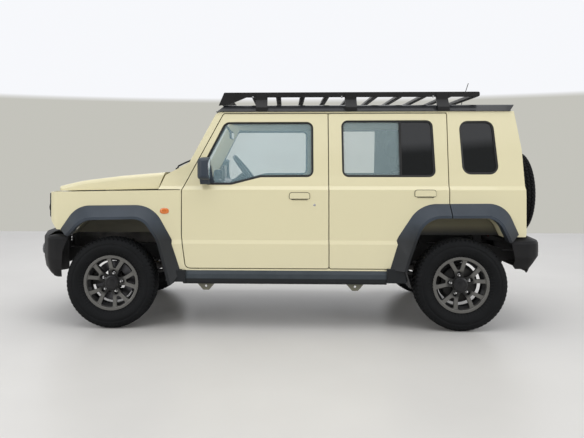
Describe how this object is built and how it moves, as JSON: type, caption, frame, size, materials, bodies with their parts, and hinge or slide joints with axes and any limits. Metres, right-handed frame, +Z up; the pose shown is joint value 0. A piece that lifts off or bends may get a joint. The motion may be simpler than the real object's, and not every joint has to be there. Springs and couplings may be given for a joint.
{
  "type": "five-door off-road 4x4 with roof rack",
  "caption": "Five-door boxy off-road 4x4 on a ladder frame, with roof rack and spare wheel, opening doors, hood and fuel lid, steering and rolling wheels.",
  "frame": {"origin": "on the ground, under the middle of the car's overall length and width", "axes": "+X towards the tail, +Y towards the car's right side, +Z up"},
  "size_m": [3.985, 1.806, 1.9172],
  "materials": {
    "paint": "gloss",
    "roof_paint": "gloss",
    "moulding": "grained",
    "rack_paint": "satin",
    "chassis_paint": "satin",
    "axle_iron": "rough",
    "link_steel": "satin",
    "engine_iron": "rough",
    "window": "clear",
    "lamp": "clear",
    "tail_lens": "gloss",
    "cabin_plastic": "grained",
    "seat_cloth": "woven",
    "seal": "matt",
    "tyre": "matt",
    "rim": "satin",
    "tank": "matt",
    "silencer": "satin"
  },
  "bodies": {
    "body": {"bumper_front": "moulding", "bumper_rear": "moulding", "dashboard": "cabin_plastic", "exhaust": "silencer", "fenders": "paint", "flares": "moulding", "floor_tub": "chassis_paint", "frame_ladder": "chassis_paint", "front_axle": "axle_iron", "front_panel": "chassis_paint", "fuel_tank": "tank", "grille": "moulding", "headlamps": "lamp", "powertrain": "engine_iron", "quarter_glass": "window", "rack": "rack_paint", "radiator": "chassis_paint", "rear_axle": "axle_iron", "roof": "roof_paint", "seals": "seal", "seats": "seat_cloth", "side_left": "paint", "side_right": "paint", "sill_covers": "moulding", "suspension": "link_steel", "tail_lamps": "tail_lens", "windscreen": "window"},
    "hood": {"hood": "paint"},
    "knuckle_left": {"knuckle_left": "axle_iron"},
    "knuckle_right": {"knuckle_right": "axle_iron"},
    "tie_rod": {"tie_rod": "link_steel"},
    "steering_wheel": {"steering_wheel": "cabin_plastic"},
    "fuel_lid": {"fuel_lid": "paint"},
    "back_door": {"back_door": "paint", "back_glass": "window", "spare_rim": "rim", "spare_tyre": "tyre"},
    "wheel_front_left": {"rim_front_left": "rim", "tyre_front_left": "tyre"},
    "wheel_rear_left": {"rim_rear_left": "rim", "tyre_rear_left": "tyre"},
    "door_front_left": {"door_front_left": "paint", "glass_front_left": "window", "mirror_left": "moulding"},
    "door_rear_left": {"door_rear_left": "paint", "flare_door_left": "moulding", "glass_rear_left": "window"},
    "wheel_front_right": {"rim_front_right": "rim", "tyre_front_right": "tyre"},
    "wheel_rear_right": {"rim_rear_right": "rim", "tyre_rear_right": "tyre"},
    "door_front_right": {"door_front_right": "paint", "glass_front_right": "window", "mirror_right": "moulding"},
    "door_rear_right": {"door_rear_right": "paint", "flare_door_right": "moulding", "glass_rear_right": "window"}
  },
  "joints": [
    {"name": "steer_left", "type": "hinge", "parent": "body", "child": "knuckle_left", "pos_m": [-1.3175, -0.627, 0.34], "axis": [0, 0, 1], "range_deg": [-32, 32]},
    {"name": "steer_right", "type": "hinge", "parent": "body", "child": "knuckle_right", "pos_m": [-1.3175, 0.627, 0.34], "axis": [0, 0, 1], "range_deg": [-32, 32]},
    {"name": "tie_rod_pivot", "type": "hinge", "parent": "knuckle_left", "child": "tie_rod", "pos_m": [-1.1875, -0.627, 0.292], "axis": [0, 0, 1], "range_deg": [-32, 32]},
    {"name": "steering_wheel_turn", "type": "hinge", "parent": "body", "child": "steering_wheel", "pos_m": [-0.3185, -0.35, 1.153], "axis": [0.7901, 0, 0.613], "range_deg": [-512, 512]},
    {"name": "wheel_front_left_spin", "type": "hinge", "parent": "knuckle_left", "child": "wheel_front_left", "pos_m": [-1.3175, -0.7, 0.34], "axis": [0, 1, 0], "continuous": true},
    {"name": "wheel_rear_left_spin", "type": "hinge", "parent": "body", "child": "wheel_rear_left", "pos_m": [1.2725, -0.7, 0.34], "axis": [0, 1, 0], "continuous": true},
    {"name": "door_front_left_swing", "type": "hinge", "parent": "body", "child": "door_front_left", "pos_m": [-0.728, -0.722, 0.84], "axis": [0, 0, -1], "range_deg": [0, 70]},
    {"name": "door_rear_left_swing", "type": "hinge", "parent": "body", "child": "door_rear_left", "pos_m": [0.352, -0.722, 0.84], "axis": [0, 0, -1], "range_deg": [0, 75]},
    {"name": "wheel_front_right_spin", "type": "hinge", "parent": "knuckle_right", "child": "wheel_front_right", "pos_m": [-1.3175, 0.7, 0.34], "axis": [0, 1, 0], "continuous": true},
    {"name": "wheel_rear_right_spin", "type": "hinge", "parent": "body", "child": "wheel_rear_right", "pos_m": [1.2725, 0.7, 0.34], "axis": [0, 1, 0], "continuous": true},
    {"name": "door_front_right_swing", "type": "hinge", "parent": "body", "child": "door_front_right", "pos_m": [-0.728, 0.722, 0.84], "axis": [0, 0, 1], "range_deg": [0, 70]},
    {"name": "door_rear_right_swing", "type": "hinge", "parent": "body", "child": "door_rear_right", "pos_m": [0.352, 0.722, 0.84], "axis": [0, 0, 1], "range_deg": [0, 75]},
    {"name": "back_door_swing", "type": "hinge", "parent": "body", "child": "back_door", "pos_m": [1.7715, 0.64, 0.94], "axis": [0, 0, 1], "range_deg": [0, 90]},
    {"name": "hood_lift", "type": "hinge", "parent": "body", "child": "hood", "pos_m": [-0.9225, 0, 1.15], "axis": [0, 1, 0], "range_deg": [0, 55]},
    {"name": "fuel_lid_swing", "type": "hinge", "parent": "body", "child": "fuel_lid", "pos_m": [1.4335, 0.728, 0.99], "axis": [0, 0, 1], "range_deg": [0, 85]}
  ],
  "couplings": [
    {"joint": "steer_right", "follows": "steer_left", "ratio": 1},
    {"joint": "tie_rod_pivot", "follows": "steer_left", "ratio": -1},
    {"joint": "steering_wheel_turn", "follows": "steer_left", "ratio": 16}
  ]
}
